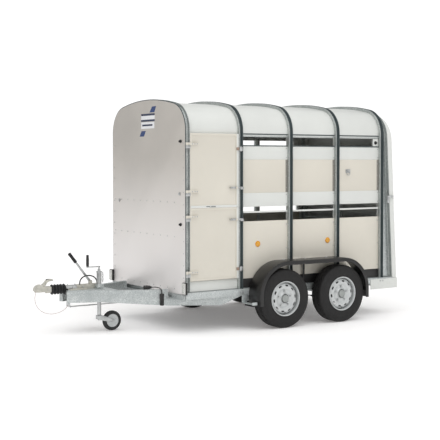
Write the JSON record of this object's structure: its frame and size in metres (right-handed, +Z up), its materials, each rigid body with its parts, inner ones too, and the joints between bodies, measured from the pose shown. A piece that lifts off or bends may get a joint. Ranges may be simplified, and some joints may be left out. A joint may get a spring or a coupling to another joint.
{
  "type": "livestock trailer",
  "caption": "Covered livestock trailer with galvanised hoops, vented sides, a two-part side door, a rear ramp, paired axles and an overrun coupling with a jockey wheel.",
  "frame": {"origin": "on the ground, midway along and across the trailer", "axes": "+Z up, the drawbar points along -Y, the side doors are on the +X side"},
  "size_m": [1.95, 4.0495, 2.342],
  "materials": {
    "galvanised": "hot-dip galvanised steel, satin spangle",
    "front_sheet": "mill-finish aluminium sheet, satin",
    "white_sheet": "white coated sheet, semi-gloss",
    "cream_panel": "cream plastic-faced composite panel, satin",
    "tread_plate": "aluminium tread plate",
    "black_plastic": "black moulded plastic, satin",
    "black_steel": "black painted spring steel",
    "cast_grey": "zinc-plated casting, satin",
    "zinc_plate": "zinc-plated steel",
    "soft_rubber": "black rubber, matt",
    "cable_sleeve": "pinkish-grey sleeved steel cable",
    "jockey_tyre": "solid rubber tyre, matt",
    "tyre": "tyre rubber, matt",
    "wheel_silver": "silver painted pressed steel, semi-gloss",
    "lamp": "clear and red lamp lenses"
  },
  "bodies": {
    "trailer": {"drawbar_rails": "galvanised", "coupling_plate": "galvanised", "side_members": "galvanised", "cross_members": "galvanised", "hoop_1": "galvanised", "hoop_2": "galvanised", "hoop_3": "galvanised", "hoop_4": "galvanised", "hoop_5": "galvanised", "rear_frame": "galvanised", "quarter_panels": "galvanised", "axle_beams": "galvanised", "spring_hangers": "galvanised", "body_fittings": "galvanised", "brake_gear": "galvanised", "front_panel": "front_sheet", "roof_sheet": "white_sheet", "left_planks": "white_sheet", "right_planks": "white_sheet", "rear_sill": "white_sheet", "left_panels": "cream_panel", "right_panels": "cream_panel", "floor_deck": "tread_plate", "mudguard_left": "black_plastic", "mudguard_right": "black_plastic", "guard_stays": "black_plastic", "plugs": "black_plastic", "leaf_springs": "black_steel", "coupling_housing": "cast_grey", "gaiter": "soft_rubber", "held_cable": "soft_rubber", "plug_lead": "soft_rubber", "breakaway_cable": "cable_sleeve", "lamps": "lamp"},
    "coupling": {"coupling_head": "cast_grey"},
    "coupling_handle": {"coupling_handle": "zinc_plate"},
    "handbrake": {"handbrake_lever": "zinc_plate"},
    "jockey_tube": {"jockey_tube": "zinc_plate"},
    "jockey_inner": {"jockey_inner": "zinc_plate"},
    "jockey_fork": {"jockey_fork": "zinc_plate"},
    "jockey_wheel": {"jockey_wheel": "jockey_tyre"},
    "jockey_crank": {"jockey_crank": "zinc_plate"},
    "upper_door": {"upper_door": "cream_panel"},
    "lower_door": {"lower_door": "cream_panel"},
    "upper_latch": {"upper_latch": "galvanised"},
    "lower_latch": {"lower_latch": "galvanised"},
    "ramp": {"ramp": "white_sheet"},
    "ramp_latch_left": {"ramp_latch_left": "galvanised"},
    "ramp_latch_right": {"ramp_latch_right": "galvanised"},
    "left_gate": {"left_gate": "galvanised"},
    "right_gate": {"right_gate": "galvanised"},
    "tie_ring": {"tie_ring": "zinc_plate"},
    "wheel_front_left": {"tyre_front_left": "tyre", "rim_front_left": "wheel_silver"},
    "wheel_rear_left": {"tyre_rear_left": "tyre", "rim_rear_left": "wheel_silver"},
    "wheel_front_right": {"tyre_front_right": "tyre", "rim_front_right": "wheel_silver"},
    "wheel_rear_right": {"tyre_rear_right": "tyre", "rim_rear_right": "wheel_silver"}
  },
  "joints": [
    {"name": "spin_front_left", "type": "hinge", "parent": "trailer", "child": "wheel_front_left", "pos_m": [0.8775, 0.3175, 0.303], "axis": [1, 0, 0], "continuous": true},
    {"name": "spin_rear_left", "type": "hinge", "parent": "trailer", "child": "wheel_rear_left", "pos_m": [0.8775, 1.0655, 0.303], "axis": [1, 0, 0], "continuous": true},
    {"name": "spin_front_right", "type": "hinge", "parent": "trailer", "child": "wheel_front_right", "pos_m": [-0.8775, 0.3175, 0.303], "axis": [1, 0, 0], "continuous": true},
    {"name": "spin_rear_right", "type": "hinge", "parent": "trailer", "child": "wheel_rear_right", "pos_m": [-0.8775, 1.0655, 0.303], "axis": [1, 0, 0], "continuous": true},
    {"name": "overrun", "type": "slide", "parent": "trailer", "child": "coupling", "axis": [0, 1, 0], "range_m": [0, 0.09], "stiffness_N_per_m": 3000, "deforming": ["gaiter"]},
    {"name": "coupling_handle_lift", "type": "hinge", "parent": "coupling", "child": "coupling_handle", "pos_m": [0, -1.9275, 0.494], "axis": [1, 0, 0], "range_deg": [0, 55]},
    {"name": "handbrake_swing", "type": "hinge", "parent": "trailer", "child": "handbrake", "pos_m": [0, -1.4185, 0.497], "axis": [-1, 0, 0], "range_deg": [-35, 25]},
    {"name": "jockey_clamp_slide", "type": "slide", "parent": "trailer", "child": "jockey_tube", "axis": [0, 0, 1], "range_m": [0, 0.06]},
    {"name": "jockey_wind", "type": "hinge", "parent": "jockey_tube", "child": "jockey_crank", "pos_m": [0.075, -1.3575, 0.606], "axis": [0, 0, 1], "range_deg": [-4320, 5760]},
    {"name": "jockey_screw", "type": "slide", "parent": "jockey_tube", "child": "jockey_inner", "axis": [0, 0, 1], "range_m": [-0.06, 0.08]},
    {"name": "jockey_swivel", "type": "hinge", "parent": "jockey_inner", "child": "jockey_fork", "pos_m": [0.075, -1.3575, 0.14], "axis": [0, 0, 1], "continuous": true},
    {"name": "jockey_spin", "type": "hinge", "parent": "jockey_fork", "child": "jockey_wheel", "pos_m": [0.075, -1.2175, 0.1], "axis": [1, 0, 0], "continuous": true},
    {"name": "upper_door_swing", "type": "hinge", "parent": "trailer", "child": "upper_door", "pos_m": [0.785, -0.7575, 1.44], "axis": [0, 0, -1], "range_deg": [0, 262]},
    {"name": "upper_latch_lift", "type": "hinge", "parent": "upper_door", "child": "upper_latch", "pos_m": [0.772, -0.1655, 1.44], "axis": [1, 0, 0], "range_deg": [0, 80]},
    {"name": "lower_door_swing", "type": "hinge", "parent": "trailer", "child": "lower_door", "pos_m": [0.785, -0.7575, 1.12], "axis": [0, 0, -1], "range_deg": [0, 262]},
    {"name": "lower_latch_lift", "type": "hinge", "parent": "lower_door", "child": "lower_latch", "pos_m": [0.772, -0.1655, 1.12], "axis": [1, 0, 0], "range_deg": [0, 80]},
    {"name": "ramp_drop", "type": "hinge", "parent": "trailer", "child": "ramp", "pos_m": [0, 1.98164, 0.378], "axis": [-1, 0, 0], "range_deg": [0, 103]},
    {"name": "ramp_latch_left_lift", "type": "hinge", "parent": "trailer", "child": "ramp_latch_left", "pos_m": [0.772, 1.87432, 1.3], "axis": [1, 0, 0], "range_deg": [0, 60]},
    {"name": "left_gate_swing", "type": "hinge", "parent": "trailer", "child": "left_gate", "pos_m": [0.695, 1.8265, 0.6], "axis": [0, 0, 1], "range_deg": [0, 85]},
    {"name": "ramp_latch_right_lift", "type": "hinge", "parent": "trailer", "child": "ramp_latch_right", "pos_m": [-0.772, 1.87432, 1.3], "axis": [1, 0, 0], "range_deg": [0, 60]},
    {"name": "right_gate_swing", "type": "hinge", "parent": "trailer", "child": "right_gate", "pos_m": [-0.695, 1.8265, 0.6], "axis": [0, 0, -1], "range_deg": [0, 85]},
    {"name": "tie_ring_swing", "type": "hinge", "parent": "trailer", "child": "tie_ring", "pos_m": [0.752, 1.3165, 1.606], "axis": [0, -1, 0], "range_deg": [0, 100]}
  ],
  "couplings": [
    {"joint": "jockey_screw", "follows": "jockey_wind", "m_per_rad": 0.00079577}
  ]
}
